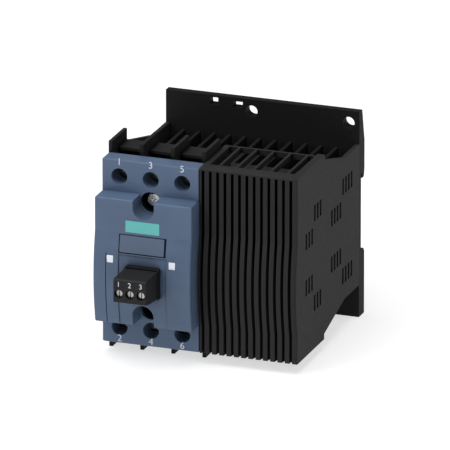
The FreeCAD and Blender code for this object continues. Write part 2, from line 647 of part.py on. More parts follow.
def make_plug():
    """The pull-off control plug with three screw clamps."""
    front, back = at_depth("plug_front"), at_depth("plug_back")
    sloped = at_depth("plug_front + 4.8")
    corners = [(front, "plug_low"), (sloped, "plug_mid"), (back, "plug_bottom"),
               (back, "plug_top"), (f"{front} + 0.6", "plug_top"), (front, "plug_top - 0.6")]
    main = prism("plug_main", "YZ_Plane", corners, "plug_middle - plug_half",
                 "plug_middle + plug_half")
    tongue = block("plug_tongue", ("plug_middle - plug_half + 0.9", "plug_middle + plug_half - 0.9"),
                   (back, at_depth("board_depth - 2.2")), ("plug_bottom + 0.9", "plug_top - 0.5"))
    rooms = []
    for number in (-1, 0, 1):
        x = f"plug_middle + {number} * pin_pitch"
        tag = number + 2
        rooms.append(rod(f"plug_access_{tag}", "y", (x, at_depth("plug_front - 1"), "plug_level"),
                         "6", "plug_hole"))
        rooms.append(block(f"plug_room_{tag}", (f"{x} - 2.05", f"{x} + 2.05"),
                           (at_depth("plug_front + 4.9"), at_depth("plug_front + 14.2")),
                           ("plug_level - 2.3", "plug_level + 2.3")))
        rooms.append(rod(f"plug_wire_{tag}", "z", (x, at_depth("plug_front + 10.6"),
                         "plug_bottom - 1"), "6", "1.5"))
        rooms.append(block(f"plug_contact_room_{tag}", (f"{x} - 1.25", f"{x} + 1.25"),
                           (at_depth("plug_front + 14"), at_depth("board_depth - 1")),
                           ("plug_level - 1.25", "plug_level + 1.25")))
    nodes["control_plug"] = cut("control_plug", fuse("plug_solid", [main, tongue]), rooms)

    contacts = []
    for number in (-1, 0, 1):
        x = f"plug_middle + {number} * pin_pitch"
        tag = number + 2
        sleeve = block(f"contact_sleeve_{tag}", (f"{x} - 1.2", f"{x} + 1.2"),
                       (at_depth("plug_front + 14.2"), at_depth("board_depth - 2.6")),
                       ("plug_level - 1.2", "plug_level + 1.2"))
        tab = block(f"contact_tab_{tag}", (f"{x} - 1.2", f"{x} + 1.2"),
                    (at_depth("plug_front + 12.6"), at_depth("plug_front + 14.2")),
                    ("plug_level - 2.2", "plug_level + 2.2"))
        bore = block(f"contact_bore_{tag}", (f"{x} - 0.6", f"{x} + 0.6"),
                     (at_depth("plug_front + 14.9"), at_depth("board_depth")),
                     ("plug_level - 0.6", "plug_level + 0.6"))
        contacts.append(cut(f"contact_{tag}", fuse(f"contact_solid_{tag}", [sleeve, tab]), [bore]))
        cage = block(f"cage_block_{tag}", (f"{x} - 1.9", f"{x} + 1.9"),
                     (at_depth("plug_front + 8.4"), at_depth("plug_front + 9.4")),
                     ("plug_level - 2.1", "plug_level + 2.1"))
        bore = rod(f"cage_bore_{tag}", "y", (x, at_depth("plug_front + 7"), "plug_level"), "4",
                   "1.0 + running_gap")
        nodes[f"plug_clamp_{tag}"] = cut(f"plug_clamp_{tag}", cage, [bore])
        nodes[f"plug_screw_{tag}"] = make_screw(
            f"plug_screw_{tag}", (x, "plug_front + 1.4", "plug_level"), "plug_screw", "1.6",
            "1.0", "6.4", "0.28", slotted=True)
    nodes["plug_contacts"] = group("plug_contacts", contacts)


# ---------------------------------------------------------------- heat sink and its covers

def make_heat_sink():
    body = new_body("sink_body")
    inner = ("-unit_width / 2 + wall_thick + 0.2", "unit_width / 2 - right_strip - 0.2")
    web_front, web_back = "block_back + base_thick + pad_thick", \
        "block_back + base_thick + pad_thick + web_thick"
    span = ("fin_bottom", "fin_top")
    pad(body, "sink_web", "XY_Plane",
        rectangle(inner, (at_depth(web_front), at_depth(web_back))), *span)
    pad(body, "sink_rear_web", "XY_Plane",
        rectangle(inner, (at_depth("plate_front - rear_web"), at_depth("plate_front"))),
        "fin_bottom + web_drop", "fin_top - web_drop")
    first = "-(fin_count - 1) / 2 * fin_pitch - fin_thick / 2"
    fin = pad(body, "sink_fin", "XY_Plane",
              rectangle((first, f"{first} + fin_thick"),
                        (at_depth(f"{web_back} - 0.5"), at_depth("plate_front - rear_web + 0.5"))),
              *span)
    repeat(body, "sink_fins", fin, "X_Axis", "fin_pitch", "fin_count")
    first = "front_fin_start - fin_thick / 2 - 4.3"
    fin = pad(body, "sink_front_fin", "XY_Plane",
              rectangle((first, f"{first} + fin_thick"),
                        (at_depth("front_fin_start"), at_depth(f"{web_front} + 0.5"))),
              "fin_bottom + front_fin_drop", "fin_top - front_fin_drop")
    repeat(body, "sink_front_fins", fin, "X_Axis", "fin_pitch", "front_fin_count - 1")
    holes = [rod(f"sink_hole_{end}", "y", ("pole_middle", at_depth("block_back"), level), "12",
                 "shank_radius") for end, level in zip(("top", "low"), FIX_LEVELS)]
    for number, (x, z) in enumerate(PLATE_FIXINGS):
        holes.append(rod(f"sink_thread_{number}", "y", (x, at_depth("plate_front - 6"), z), "7",
                         "shank_radius"))
    nodes["heat_sink"] = cut("heat_sink", body, holes)


def wall_outline(start_depth, start_top, start_bottom):
    """Side wall outline behind the cover: a step, a slope and a flat run to the plate."""
    start, slope_end = at_depth(start_depth), at_depth("wall_flat")
    end = at_depth("plate_front")
    return [(start, start_bottom), (start, start_top), (slope_end, "wall_top"),
            (end, "wall_top"), (end, "wall_bottom"), (slope_end, "wall_bottom")]


def vent_slots(tag, x, groups):
    """Rows of upright slots through a side wall: first depth, lowest z and number of slots."""
    slots = []
    for number, (depth, low, count) in enumerate(groups):
        for step in range(count):
            centre = f"{depth} + {step} * vent_pitch"
            slots.append(block(f"vent_{tag}_{number}_{step}", x,
                               (at_depth(f"{centre} - vent_wide / 2"),
                                at_depth(f"{centre} + vent_wide / 2")),
                               (low, f"{low} + vent_tall")))
    return slots


FRONT_VENTS = [("11.6", "8.6", 3), ("11.6", "-12.5", 3), ("22.5", "18.4", 3), ("22.5", "-22.8", 3)]
REAR_VENTS = [("44.6", "8.6", 4), ("44.6", "-12.6", 4), ("59.2", "18.4", 4), ("59.2", "-22.9", 4)]
PLATE_FIXINGS = [("-28", "25.6"), ("28", "25.6"), ("-28", "-21"), ("28", "-21")]


def make_ribbed_cover():
    """Ribbed front, open grilles at top and bottom, and the right side wall, in one moulding."""
    right = "unit_width / 2"
    back = at_depth("wall_break")
    crest = at_depth("0")
    corners = [(back, "ribbed_bottom"), (back, "ribbed_top"), (crest, "ribbed_top"),
               (crest, "bow_top"), (crest, "tier_bottom"), (crest, "ribbed_bottom")]
    shell = new_body("ribbed_block")
    base = pad(shell, "ribbed_pad", "YZ_Plane", corners, "0", right, bows={3: "bow_radius"})
    round_edges(shell, "ribbed_rounds", base, "edge_round",
                lambda edge: edge.BoundBox.YMax < value(crest) + 0.1
                and (edge.BoundBox.XMin > value(right) - 0.1
                     or edge.BoundBox.ZMin > value("ribbed_top") - 0.1))
    room = [block("grille_room", ("left_strip", "unit_width / 2 - right_strip"),
                  (at_depth("strip_deep"), at_depth("grille_back")),
                  ("ribbed_bottom - 1", "ribbed_top + 1")),
            block("front_room", ("left_strip", "unit_width / 2 - right_strip"),
                  (at_depth("ribbed_wall"), at_depth("strip_deep + 1")),
                  ("ribbed_bottom + 2.4", "ribbed_top - 2.4")),
            block("back_room", ("left_strip", "unit_width / 2 - right_strip"),
                  (at_depth("grille_back - 1"), at_depth("wall_break + 1")),
                  ("ribbed_bottom + bar_tall", "ribbed_top - bar_tall")),
            block("rail_room", ("-1", "unit_width / 2 - right_strip"),
                  (at_depth("grille_back + rail_deep"), at_depth("wall_break + 1")),
                  ("ribbed_bottom - 1", "ribbed_top + 1"))]
    grooves = new_body("groove_body")
    middle = "groove_first"
    outline = [(f"{middle} - groove_mouth / 2", at_depth("-4")),
               (f"{middle} + groove_mouth / 2", at_depth("-4")),
               (f"{middle} + groove_mouth / 2", at_depth("-0.1")),
               (f"{middle} + groove_floor / 2", at_depth("groove_depth")),
               (f"{middle} - groove_floor / 2", at_depth("groove_depth")),
               (f"{middle} - groove_mouth / 2", at_depth("-0.1"))]
    groove = pad(grooves, "groove", "XY_Plane", outline, "ribbed_bottom - 1", "ribbed_top - 1.2")
    repeat(grooves, "groove_row", groove, "X_Axis", "rib_pitch", "rib_count")
    hollow = cut("ribbed_hollow", shell, room + [grooves])
    bars = []
    for number in range(int(value("bar_count"))):
        x = f"bar_first + {number} * bar_pitch"
        for end, low, high in (("top", "ribbed_top - bar_tall", "ribbed_top"),
                               ("low", "ribbed_bottom", "ribbed_bottom + bar_tall")):
            bars.append(block(f"grille_bar_{end}_{number}",
                              (f"{x} - bar_wide / 2", f"{x} + bar_wide / 2"),
                              (at_depth("strip_deep - 0.5"), at_depth("grille_back + 0.5")),
                              (low, high)))
    wall = prism("right_wall", "YZ_Plane",
                 wall_outline("wall_break - 1", "ribbed_top - wall_step",
                              "ribbed_bottom + wall_step"), "unit_width / 2 - wall_thick", right)
    whole = fuse("ribbed_whole", [hollow, wall] + bars)
    x = ("unit_width / 2 - right_strip - 1", "unit_width / 2 + 1")
    nodes["heat_sink_cover"] = cut("heat_sink_cover", whole,
                                   vent_slots("right", x, FRONT_VENTS + REAR_VENTS))


def make_side_panel():
    wall = prism("left_wall", "YZ_Plane",
                 wall_outline("barrier_back + 0.2", "shelf_top - 0.8", "shelf_bottom + 0.8"),
                 "-unit_width / 2", "-unit_width / 2 + wall_thick")
    x = ("-unit_width / 2 - 1", "-unit_width / 2 + wall_thick + 1")
    nodes["side_panel"] = cut("side_panel", wall, vent_slots("left", x, REAR_VENTS))


# ---------------------------------------------------------------- mounting plate and rail latch

def make_mounting_plate():
    top, bottom = "plate_rise + plate_height / 2", "plate_rise - plate_height / 2"
    front = at_depth("plate_front")
    corners = [(front, bottom), (front, top), (f"{front} + plate_thin", top),
               ("0", f"{top} - taper"), ("0", "recess_top + 3.0"), ("-0.8", "recess_top"),
               ("-recess_deep + hook_wide", "recess_top"),
               ("-recess_deep + hook_wide", "recess_top + hook_tall"),
               ("-recess_deep", "recess_top + hook_tall"),
               ("-recess_deep", "recess_bottom"), ("-1.2", "recess_bottom"),
               ("0", "recess_bottom - 1.6"), ("0", bottom)]
    slab = prism("plate_slab", "YZ_Plane", corners[::-1], "-unit_width / 2", "unit_width / 2")
    deep = (at_depth("plate_front - 1"), "1")
    holes = []
    for end in ("left", "right"):
        holes.append(rod(f"hole_top_{end}", "y", (f"hole_{end}", deep[0], f"{top} - hole_inset"),
                         "12", "hole_radius"))
        holes.append(rod(f"hole_low_{end}", "y", (f"low_hole_{end}", deep[0],
                         f"{bottom} + hole_inset"), "12", "hole_radius"))
    holes.append(block("tie_slot_left", ("-24.5", "-20.6"), deep, (f"{top} - 4.4", f"{top} - 1.0")))
    holes.append(block("tie_slot_right", ("-13.8", "-9.2"), deep, (f"{top} - 4.6", f"{top} - 1.7")))
    for number, (x, z) in enumerate(PLATE_FIXINGS):
        holes.append(rod(f"plate_bore_{number}", "y", (x, deep[0], z), "9", "shank_radius + 0.2"))
        holes.append(taper_rod(f"plate_sink_{number}", (x, "-2.6", z), "2.7",
                               "shank_radius + 0.2", "4.4"))
    # the latch runs in a stepped groove that is open at the bottom and into the rail recess
    groove_end = ("recess_bottom + 1", f"{bottom} - 1")
    wide = "latch_half + latch_flange + 0.2"
    holes.append(block("latch_groove_deep", (f"-({wide})", wide), ("-recess_deep", "-2.4"),
                       groove_end[::-1]))
    wide = "latch_half + 0.2"
    holes.append(block("latch_groove_open", (f"-({wide})", wide), ("-2.5", "1"),
                       groove_end[::-1]))
    peg = block("latch_peg", ("-1.7", "1.7"), ("-recess_deep - 0.5", "-1.2"),
                ("-36.6", "-34.4"))
    nodes["mounting_plate"] = fuse("mounting_plate", [cut("plate_cut", slab, holes), peg])

    screws = []
    for number, (x, z) in enumerate(PLATE_FIXINGS):
        head = taper_rod(f"plate_head_{number}", (x, "-2.5", z), "2.2", "shank_radius", "4.0")
        shank = rod(f"plate_shank_{number}", "y", (x, at_depth("plate_front - rear_web"), z),
                    "face_depth - plate_front + rear_web - 2.4", "shank_radius")
        slot = block(f"plate_slot_{number}", (f"{x} - 2.6", f"{x} + 2.6"), ("-1.4", "1"),
                     (f"{z} - 0.5", f"{z} + 0.5"))
        cross = block(f"plate_cross_{number}", (f"{x} - 0.5", f"{x} + 0.5"), ("-1.4", "1"),
                      (f"{z} - 2.6", f"{z} + 2.6"))
        screws.append(cut(f"plate_screw_{number}", fuse(f"plate_screw_solid_{number}",
                                                        [head, shank]), [slot, cross]))
    nodes["plate_screws"] = group("plate_screws", screws)


def make_latch():
    """The sprung rail latch, with a window for its spring and a pull slot at its foot."""
    bottom = "plate_rise - plate_height / 2 + 0.6"
    top = "recess_bottom - 0.3"
    deep = ("-recess_deep + latch_gap", "-2.4 - latch_gap")
    shallow = ("-2.4 - latch_gap - 0.1", "-latch_gap")
    pieces = [block("latch_flanges", ("-latch_half - latch_flange", "latch_half + latch_flange"),
                    deep, (f"{bottom} + 6", top)),
              block("latch_foot", ("-latch_half", "latch_half"), deep, (bottom, f"{bottom} + 7")),
              block("latch_back", ("-latch_half", "latch_half"), shallow, (bottom, top)),
              block("latch_nose_block", ("-latch_half", "latch_half"), ("-3.1", "-latch_gap"),
                    (f"{top} - 1", "recess_bottom + latch_nose"))]
    window = block("latch_window", ("-2.1", "2.1"), ("-recess_deep - 1", "-0.9"), ("-37", "-22"))
    pull = block("latch_pull", ("-3", "3"), ("-3.2", "-1.7"), (f"{bottom} - 1", f"{bottom} + 3.4"))
    nodes["rail_latch"] = cut("rail_latch", fuse("latch_solid", pieces), [window, pull])

    coil = doc.addObject("Part::Helix", "spring_line")
    coil.setExpression("Radius", bind("spring_radius"))
    coil.setExpression("Pitch", bind("1.5"))
    coil.setExpression("Height", bind("11.4"))
    place(coil, "0", "-2.75", "-33.9")
    ring = doc.addObject("Part::Circle", "spring_section")
    ring.setExpression("Radius", bind("spring_wire"))
    ring.Placement = FreeCAD.Placement(Vector(), FreeCAD.Rotation(Vector(1, 0, 0), 90))
    place(ring, "spring_radius", "-2.75", "-33.9")
    spring = doc.addObject("Part::Sweep", "latch_spring")
    spring.Sections = [ring]
    spring.Spine = (coil, ["Edge1"])
    spring.Solid = True
    spring.Frenet = True
    nodes["latch_spring"] = spring


# ---------------------------------------------------------------- build, test and write

def settle(node, piece):
    """Lower a finished piece, so that the rail's centre line is at height zero."""
    piece.Label = node + "_in_place"
    settled = doc.addObject("Part::Compound", node + "_node")
    settled.Links = [piece]
    settled.setExpression("Placement.Base.z", bind("-rail_line"))
    return settled


make_front_cover()
make_label_and_windows()
make_module_housing()
make_power_stage()
make_terminals()
make_fixing_screws()
make_control_board()
make_header()
make_plug()
make_heat_sink()
make_ribbed_cover()
make_side_panel()
make_mounting_plate()
make_latch()
for node in list(nodes):
    nodes[node] = settle(node, nodes[node])
doc.recompute()

failed = [item.Name for item in doc.Objects if {"Invalid", "Error"} & set(item.State)]
if failed:
    raise RuntimeError("objects that did not build: " + ", ".join(failed))
for node, item in nodes.items():
    item.Label = node
    if item.Shape.isNull() or not item.Shape.isValid() or not item.Shape.Solids:
        raise RuntimeError(f"{node} has no valid solid")
for node, item in nodes.items():
    item.Shape.exportStep(f"parts/{node}.step")
    box = item.Shape.BoundBox
    print(f"{node:20s} solids {len(item.Shape.Solids)} volume {item.Shape.Volume:9.1f}"
          f"  x {box.XMin:6.1f} {box.XMax:6.1f}  y {box.YMin:6.1f} {box.YMax:6.1f}"
          f"  z {box.ZMin:6.1f} {box.ZMax:6.1f}")
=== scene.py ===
"""Looks of the solid state relay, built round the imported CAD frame. Units are metres."""
import json
import math

import bmesh
import bpy
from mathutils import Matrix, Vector


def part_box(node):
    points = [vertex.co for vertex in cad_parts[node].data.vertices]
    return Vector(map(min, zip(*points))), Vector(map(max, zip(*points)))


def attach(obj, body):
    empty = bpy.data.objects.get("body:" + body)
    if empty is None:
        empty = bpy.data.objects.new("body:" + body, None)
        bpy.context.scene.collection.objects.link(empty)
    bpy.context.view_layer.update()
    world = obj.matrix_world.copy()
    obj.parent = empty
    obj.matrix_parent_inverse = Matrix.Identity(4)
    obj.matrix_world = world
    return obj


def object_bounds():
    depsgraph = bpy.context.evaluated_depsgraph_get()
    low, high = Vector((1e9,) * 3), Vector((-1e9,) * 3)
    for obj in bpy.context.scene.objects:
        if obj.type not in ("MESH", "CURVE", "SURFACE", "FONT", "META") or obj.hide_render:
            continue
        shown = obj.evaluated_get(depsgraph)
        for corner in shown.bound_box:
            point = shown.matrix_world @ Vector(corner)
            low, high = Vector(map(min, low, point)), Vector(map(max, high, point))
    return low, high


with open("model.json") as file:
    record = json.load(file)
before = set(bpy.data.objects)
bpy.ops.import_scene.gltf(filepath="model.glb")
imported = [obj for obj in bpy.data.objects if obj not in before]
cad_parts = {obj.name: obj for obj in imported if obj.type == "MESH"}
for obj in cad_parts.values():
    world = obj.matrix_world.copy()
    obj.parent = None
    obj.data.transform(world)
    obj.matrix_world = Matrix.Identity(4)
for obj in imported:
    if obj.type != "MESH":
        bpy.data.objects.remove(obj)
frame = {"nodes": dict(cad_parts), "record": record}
cad_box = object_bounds()

MM = 0.001

# terminal digits stand this far above or below the middle of their driver hole
LINE_DIGIT_RISE = 6.6 * MM
LOAD_DIGIT_DROP = 5.2 * MM
TERMINAL_DIGIT = 4.4 * MM
PLUG_DIGIT = 3.2 * MM
PLUG_DIGIT_DROP = 2.5 * MM
PRINT = 0.03 * MM
TIER_STEP = 9.4 * MM
FIELD_LEFT, FIELD_RIGHT = -30.7 * MM, -15.1 * MM
FIELD_LOW, FIELD_HIGH = 12.1 * MM, 17.4 * MM
FIELD_CORNER = 0.4 * MM
FIELD_THICK = 0.08 * MM

SLOT_OF = {part["node"]: part["material_slot"] for part in frame["record"]["subparts"]}


# ------------------------------------------------------------------ materials

# painted shade: occlusion at which a surface counts as closed in or open, and what is left of
# its colour and sheen in the deepest painted shade
CLOSED, OPEN, DEEPEST = 0.42, 0.92, 0.03


class Nodes:
    """Small helper that adds shader nodes and links them."""

    def __init__(self, name):
        self.material = bpy.data.materials.new(name)
        self.material.use_nodes = True
        self.tree = self.material.node_tree
        self.shader = self.tree.nodes["Principled BSDF"]

    def add(self, kind, **values):
        node = self.tree.nodes.new(kind)
        for key, value in values.items():
            if key in node.inputs:
                node.inputs[key].default_value = value
            else:
                setattr(node, key, value)
        return node

    def link(self, source, target):
        self.tree.links.new(source, target)

    def noise(self, scale, detail=4.0, roughness=0.55, stretch=None):
        """Noise in the object's own space, optionally stretched along an axis."""
        place = self.add("ShaderNodeTexCoord").outputs["Object"]
        if stretch:
            mapping = self.add("ShaderNodeMapping")
            mapping.inputs["Scale"].default_value = stretch
            self.link(place, mapping.inputs["Vector"])
            place = mapping.outputs["Vector"]
        noise = self.add("ShaderNodeTexNoise", Scale=scale, Detail=detail, Roughness=roughness)
        self.link(place, noise.inputs["Vector"])
        return noise.outputs["Fac"]

    def ramp(self, source, low, high, start=0.35, stop=0.65):
        ramp = self.add("ShaderNodeValToRGB")
        ramp.color_ramp.elements[0].position = start
        ramp.color_ramp.elements[1].position = stop
        ramp.color_ramp.elements[0].color = low
        ramp.color_ramp.elements[1].color = high
        self.link(source, ramp.inputs["Fac"])
        return ramp.outputs["Color"]

    def level(self, source, low, high):
        """Map noise to a range of plain numbers."""
        scale = self.add("ShaderNodeMapRange")
        scale.inputs["From Min"].default_value = 0.3
        scale.inputs["From Max"].default_value = 0.7
        scale.inputs["To Min"].default_value = low
        scale.inputs["To Max"].default_value = high
        self.link(source, scale.inputs["Value"])
        return scale.outputs["Result"]

    def darken(self, color, specular, reach):
        """Painted shade: darken colour and sheen inside holes and gaps narrower than the reach,
        from ambient occlusion.
        """
        # ambient occlusion becomes a painted shade factor for both colour and sheen
        shade = self.add("ShaderNodeAmbientOcclusion", samples=8, Distance=reach)
        mask = self.add("ShaderNodeMapRange")
        mask.inputs["From Min"].default_value = CLOSED
        mask.inputs["From Max"].default_value = OPEN
        mask.inputs["To Min"].default_value = DEEPEST
        self.link(shade.outputs["AO"], mask.inputs["Value"])
        mix = self.add("ShaderNodeMix", data_type="RGBA", blend_type="MULTIPLY")
        mix.inputs["Factor"].default_value = 1.0
        self.link(color, mix.inputs[6])
        self.link(mask.outputs["Result"], mix.inputs[7])
        sheen = self.add("ShaderNodeMath", operation="MULTIPLY")
        sheen.inputs[1].default_value = specular
        self.link(mask.outputs["Result"], sheen.inputs[0])
        self.link(sheen.outputs["Value"], self.shader.inputs["Specular IOR Level"])
        return mix.outputs[2]

    def bump(self, source, strength, distance, below=None):
        bump = self.add("ShaderNodeBump", Strength=strength, Distance=distance)
        self.link(source, bump.inputs["Height"])
        if below is not None:
            self.link(below, bump.inputs["Normal"])
        return bump.outputs["Normal"]


def tint(color, factor):
    return tuple(min(1.0, c * factor) for c in color[:3]) + (1.0,)


def moulded_plastic(name, color, rough=0.5, grain=0.5, specular=0.5, wear=1.12, painted_shade_reach=0.0):
    """Injection moulded plastic: spark-eroded grain, cloudy colour and lighter worn edges.

    Painted shade darkens colour and sheen in holes and gaps narrower than the reach given; at
    zero none is painted.
    """
    n = Nodes(name)
    cloud = n.noise(90.0, detail=5.0)
    body = n.ramp(cloud, tint(color, 0.94), tint(color, 1.06))
    n.shader.inputs["Specular IOR Level"].default_value = specular
    # painted shade: occlusion darkens the colour and sheen in hollows narrower than the reach
    if painted_shade_reach:
        body = n.darken(body, specular, painted_shade_reach)
    edge = n.add("ShaderNodeNewGeometry").outputs["Pointiness"]
    edge_mask = n.add("ShaderNodeMapRange")
    edge_mask.inputs["From Min"].default_value = 0.52
    edge_mask.inputs["From Max"].default_value = 0.60
    n.link(edge, edge_mask.inputs["Value"])
    mix = n.add("ShaderNodeMix", data_type="RGBA")
    n.link(edge_mask.outputs["Result"], mix.inputs["Factor"])
    n.link(body, mix.inputs[6])
    mix.inputs[7].default_value = tint(color, wear)
    n.link(mix.outputs[2], n.shader.inputs["Base Color"])
    fine = n.noise(5200.0, detail=2.0, roughness=0.6)
    coarse = n.noise(1500.0, detail=2.0)
    n.link(n.level(coarse, rough - 0.05, rough + 0.06), n.shader.inputs["Roughness"])
    first = n.bump(coarse, 0.25 * grain, 0.00004)
    n.link(n.bump(fine, 0.5 * grain, 0.00003, first), n.shader.inputs["Normal"])
    return n.material


def metal(name, color, rough=0.28, brushed=None, polish=0.0):
    """Plated or bare metal with fine brushing and cloudy roughness."""
    n = Nodes(name)
    cloud = n.noise(600.0, detail=5.0)
    n.link(n.ramp(cloud, tint(color, 0.86), tint(color, 1.1)), n.shader.inputs["Base Color"])
    n.shader.inputs["Metallic"].default_value = 1.0
    streaks = n.noise(2600.0, detail=3.0, stretch=brushed or (1.0, 1.0, 1.0))
    n.link(n.level(streaks, rough - 0.08, rough + 0.12), n.shader.inputs["Roughness"])
    n.link(n.bump(streaks, 0.25, 0.00002), n.shader.inputs["Normal"])
    n.shader.inputs["Coat Weight"].default_value = polish
    return n.material


def anodised(name, color, specular=0.2):
    """Black anodised extrusion with drawn lines along its length, and painted shade in its
    hollows narrower than 6 mm.
    """
    n = Nodes(name)
    lines = n.noise(3000.0, detail=2.0, stretch=(1.0, 1.0, 0.03))
    drawn = n.ramp(lines, tint(color, 0.8), tint(color, 1.25))
    # painted shade darkens the colour and sheen between the fins and in other hollows
    n.link(n.darken(drawn, specular, 6.0 * MM), n.shader.inputs["Base Color"])
    n.shader.inputs["Metallic"].default_value = 0.15
    n.link(n.level(lines, 0.36, 0.5), n.shader.inputs["Roughness"])
    n.link(n.bump(lines, 0.3, 0.00002), n.shader.inputs["Normal"])
    return n.material


def board(name, color):
    """Solder mask with faint copper tracks under it."""
    n = Nodes(name)
    place = n.add("ShaderNodeTexCoord").outputs["Object"]
    brick = n.add("ShaderNodeTexBrick", Scale=420.0)
    brick.inputs["Color1"].default_value = tint(color, 1.0)
    brick.inputs["Color2"].default_value = tint(color, 0.8)
    brick.inputs["Mortar"].default_value = tint(color, 1.9)
    brick.inputs["Mortar Size"].default_value = 0.06
    turn = n.add("ShaderNodeMapping")
    turn.inputs["Rotation"].default_value = (math.radians(90), 0.0, 0.0)
    n.link(place, turn.inputs["Vector"])
    n.link(turn.outputs["Vector"], brick.inputs["Vector"])
    n.link(brick.outputs["Color"], n.shader.inputs["Base Color"])
    n.link(n.level(n.noise(700.0), 0.25, 0.4), n.shader.inputs["Roughness"])
    return n.material


def glowing(name, color, glow):
    """Milky or clear lens: bright and smooth, lit from behind by the glow."""
    n = Nodes(name)
    n.link(n.ramp(n.noise(500.0), tint(color, 0.96), tint(color, 1.03)),
           n.shader.inputs["Base Color"])
    n.link(n.level(n.noise(900.0), 0.18, 0.3), n.shader.inputs["Roughness"])
    n.shader.inputs["Emission Color"].default_value = color
    n.shader.inputs["Emission Strength"].default_value = glow
    return n.material


def print_ink(name, color, rough=0.55):
    """Laser marking or pad print: slightly uneven, a little rough."""
    n = Nodes(name)
    n.link(n.ramp(n.noise(4000.0, detail=3.0), tint(color, 0.9), tint(color, 1.05)),
           n.shader.inputs["Base Color"])
    n.link(n.level(n.noise(2500.0), rough - 0.05, rough + 0.08), n.shader.inputs["Roughness"])
    return n.material


BLUE = (0.066, 0.101, 0.166, 1.0)
# the reach given to cover_blue, black_plastic and cover_black sets how wide a hole or gap gets
# painted shade
MATERIALS = {
    "cover_blue": moulded_plastic("cover_blue", BLUE, rough=0.52, specular=0.35,
                                  painted_shade_reach=6.0 * MM),
    "label_blue": moulded_plastic("label_blue", (0.068, 0.096, 0.150, 1.0), rough=0.5, grain=0.3,
                                  specular=0.35),
    "light_guide": glowing("light_guide", (0.75, 0.80, 0.88, 1.0), 0.0),
    "black_plastic": moulded_plastic("black_plastic", (0.008, 0.008, 0.008, 1.0), rough=0.68,
                                     specular=0.22, painted_shade_reach=3.0 * MM),
    "plug_black": moulded_plastic("plug_black", (0.008, 0.0078, 0.008, 1.0), rough=0.62,
                                  specular=0.25),
    "cover_black": moulded_plastic("cover_black", (0.0145, 0.0145, 0.0152, 1.0), rough=0.74,
                                   grain=0.7, specular=0.2, painted_shade_reach=2.5 * MM),
    "plate_black": moulded_plastic("plate_black", (0.006, 0.006, 0.0062, 1.0), rough=0.7,
                                   specular=0.15),
    "latch_black": moulded_plastic("latch_black", (0.012, 0.012, 0.012, 1.0), rough=0.6,
                                   specular=0.25),
    "black_anodised": anodised("black_anodised", (0.012, 0.012, 0.0124, 1.0)),
    "base_copper": metal("base_copper", (0.72, 0.45, 0.31, 1.0), 0.35),
    "pad_grey": moulded_plastic("pad_grey", (0.32, 0.33, 0.35, 1.0), rough=0.8),
    "ceramic": moulded_plastic("ceramic", (0.78, 0.78, 0.74, 1.0), rough=0.45, grain=0.2),
    "silicon": metal("silicon", (0.12, 0.13, 0.16, 1.0), 0.2),
    "plated_pin": metal("plated_pin", (0.82, 0.79, 0.7, 1.0), 0.25),
    "tinned_copper": metal("tinned_copper", (0.74, 0.73, 0.7, 1.0), 0.3, (0.2, 1.0, 1.0)),
    "bright_screw": metal("bright_screw", (0.86, 0.86, 0.85, 1.0), 0.24),
    "zinc_screw": metal("zinc_screw", (0.62, 0.62, 0.6, 1.0), 0.34),
    "zinc_clamp": metal("zinc_clamp", (0.55, 0.55, 0.53, 1.0), 0.38),
    "spring_steel": metal("spring_steel", (0.5, 0.5, 0.52, 1.0), 0.25),
    "board_green": board("board_green", (0.012, 0.11, 0.045, 1.0)),
    "led_lens": glowing("led_lens", (0.85, 0.9, 0.8, 1.0), 0.1),
    "chip_black": moulded_plastic("chip_black", (0.02, 0.02, 0.02, 1.0), rough=0.4),
    "capacitor_can": metal("capacitor_can", (0.72, 0.73, 0.74, 1.0), 0.3),
}
DULL_SCREW = metal("dull_screw", (0.42, 0.42, 0.41, 1.0), 0.32)
MARK_WHITE = print_ink("mark_white", (0.56, 0.62, 0.70, 1.0))
TEAL_FIELD = print_ink("teal_field", (0.10, 0.42, 0.42, 1.0), rough=0.4)


# ------------------------------------------------------------------ CAD nodes

SOFT_EDGES = {
    "front_cover": 0.22, "module_housing": 0.16, "heat_sink_cover": 0.14, "mounting_plate": 0.25,
    "side_panel": 0.2, "control_plug": 0.18, "control_header": 0.12, "heat_sink": 0.12,
    "label_plate": 0.15, "rail_latch": 0.2, "light_guides": 0.12,
}


def soften(thing, width):
    """Narrow rounding on the sharp edges of a CAD node, by modifier only."""
    bevel = thing.modifiers.new("edge_rounding", "BEVEL")
    bevel.width = width * MM
    bevel.segments = 2
    bevel.limit_method = "ANGLE"
    bevel.angle_limit = math.radians(40)
    bevel.harden_normals = True
    bevel.use_clamp_overlap = True


for node, thing in frame["nodes"].items():
    thing.data.materials.clear()
    # the plug's screws are duller than the bright screws of the same slot
    dull = node.startswith("plug_screw")
    thing.data.materials.append(DULL_SCREW if dull else MATERIALS[SLOT_OF[node]])
    if node in SOFT_EDGES:
        soften(thing, SOFT_EDGES[node])


# ------------------------------------------------------------------ markings

def middle(node):
    low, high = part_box(node)
    return (low + high) / 2


# The driver holes open in the terminal face; the main face stands a step in front of it.
TERMINAL_FACE = -87.2 * MM
MAIN_FACE = TERMINAL_FACE - TIER_STEP


def flat_mark(name, text, x, y, z, size, material, body):
    """Printed characters standing a hair proud of a face that looks forwards."""
    curve = bpy.data.curves.new(name, "FONT")
    curve.body = text
    curve.size = size
    curve.align_x = "CENTER"
    curve.align_y = "CENTER"
    curve.extrude = PRINT / 2
    lettering = bpy.data.objects.new(name, curve)
    bpy.context.scene.collection.objects.link(lettering)
    lettering.rotation_euler = (math.radians(90), 0.0, 0.0)
    lettering.location = (x, y - PRINT, z)
    curve.materials.append(material)
    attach(lettering, body)
    return lettering


